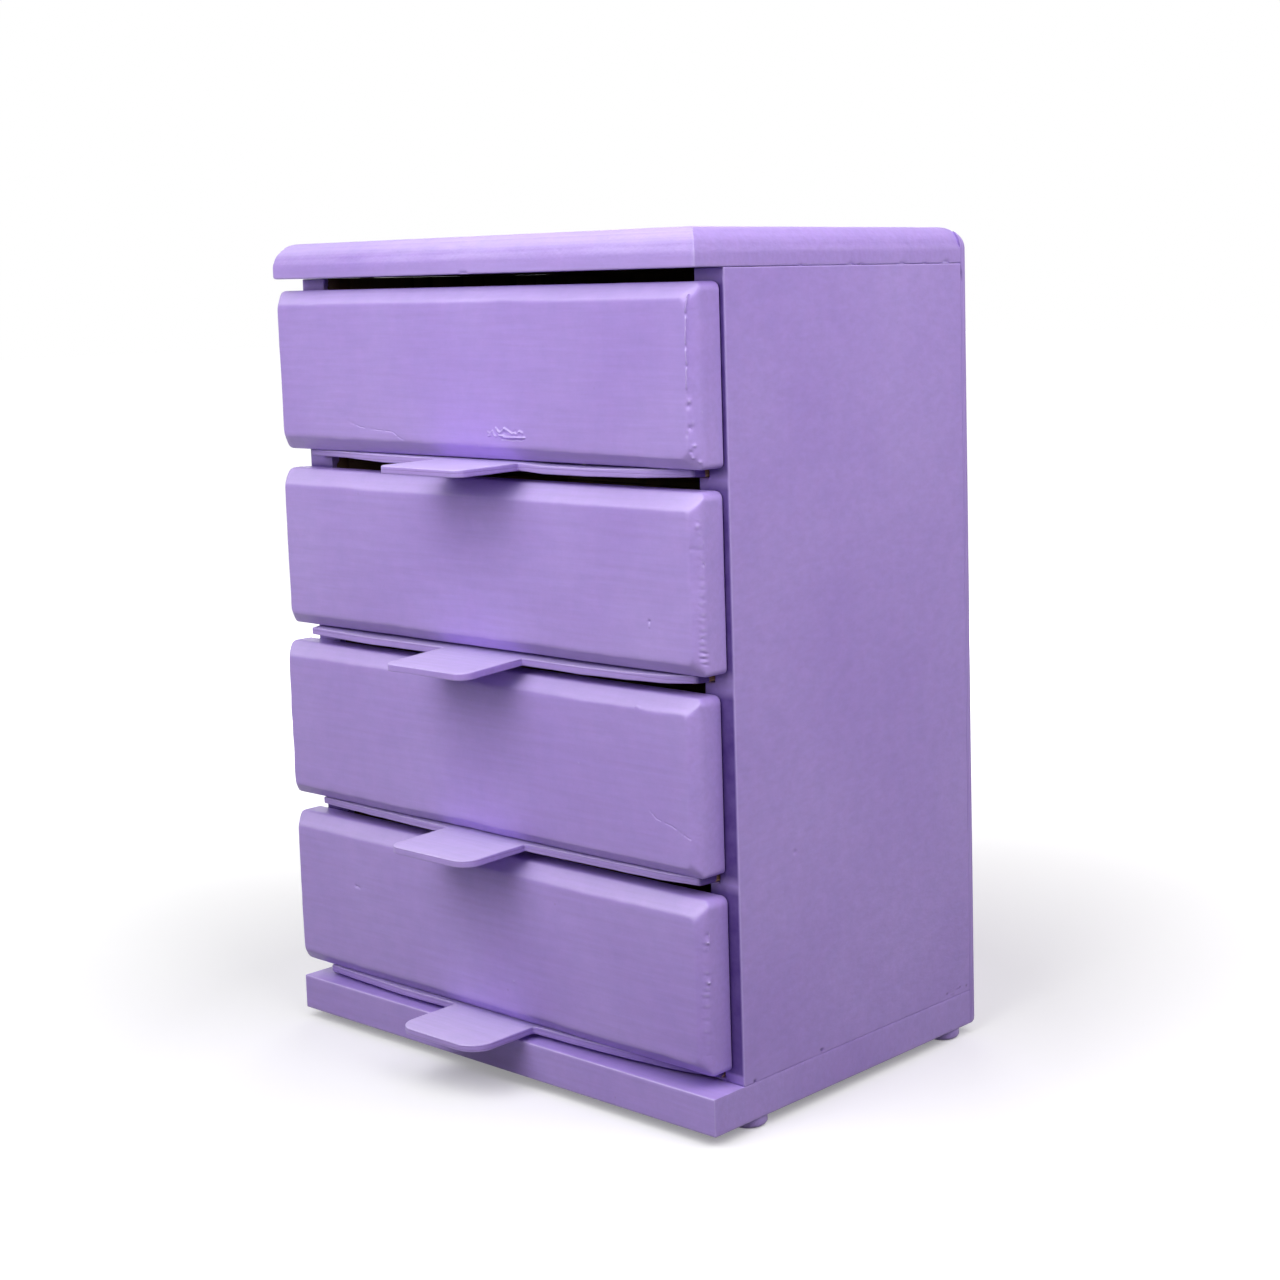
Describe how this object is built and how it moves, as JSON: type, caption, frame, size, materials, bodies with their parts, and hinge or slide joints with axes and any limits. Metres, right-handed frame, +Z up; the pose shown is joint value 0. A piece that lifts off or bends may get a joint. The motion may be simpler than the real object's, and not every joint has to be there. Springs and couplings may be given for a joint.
{
  "type": "tabletop chest of drawers",
  "caption": "Painted wooden tabletop chest with stacked sliding drawers, bevelled fronts, tongue pulls on the plywood bottoms and button feet.",
  "frame": {"origin": "middle of the bounding box, on the plane that the feet stand on", "axes": "+Z up, -Y out of the drawer fronts, +X to the right as seen from the front"},
  "size_m": [0.2052, 0.1542, 0.2752],
  "materials": {
    "painted_wood": "satin lilac paint over solid wood",
    "painted_plywood": "satin lilac paint over plywood",
    "plywood": "plywood, painted where it shows",
    "box_wood": "bare softwood",
    "dowel_wood": "bare hardwood dowel",
    "steel": "plain steel"
  },
  "bodies": {
    "case": {"top_board": "painted_wood", "base_board": "painted_wood", "back_panel": "painted_plywood", "top_dowels": "dowel_wood", "base_dowels": "dowel_wood", "back_pins": "steel", "foot_nails": "steel", "left_side": "painted_wood", "foot_front_left": "painted_wood", "foot_back_left": "painted_wood", "right_side": "painted_wood", "foot_front_right": "painted_wood", "foot_back_right": "painted_wood"},
    "drawer_1": {"drawer_1_front": "painted_wood", "drawer_1_bottom": "plywood", "drawer_1_back": "box_wood", "drawer_1_left_wall": "box_wood", "drawer_1_right_wall": "box_wood", "drawer_1_pins": "steel"},
    "drawer_2": {"drawer_2_front": "painted_wood", "drawer_2_bottom": "plywood", "drawer_2_back": "box_wood", "drawer_2_left_wall": "box_wood", "drawer_2_right_wall": "box_wood", "drawer_2_pins": "steel"},
    "drawer_3": {"drawer_3_front": "painted_wood", "drawer_3_bottom": "plywood", "drawer_3_back": "box_wood", "drawer_3_left_wall": "box_wood", "drawer_3_right_wall": "box_wood", "drawer_3_pins": "steel"},
    "drawer_4": {"drawer_4_front": "painted_wood", "drawer_4_bottom": "plywood", "drawer_4_back": "box_wood", "drawer_4_left_wall": "box_wood", "drawer_4_right_wall": "box_wood", "drawer_4_pins": "steel"}
  },
  "joints": [
    {"name": "drawer_1_slide", "type": "slide", "parent": "case", "child": "drawer_1", "axis": [0, -1, 0], "range_m": [0, 0.085]},
    {"name": "drawer_2_slide", "type": "slide", "parent": "case", "child": "drawer_2", "axis": [0, -1, 0], "range_m": [0, 0.085]},
    {"name": "drawer_3_slide", "type": "slide", "parent": "case", "child": "drawer_3", "axis": [0, -1, 0], "range_m": [0, 0.085]},
    {"name": "drawer_4_slide", "type": "slide", "parent": "case", "child": "drawer_4", "axis": [0, -1, 0], "range_m": [0, 0.085]}
  ]
}
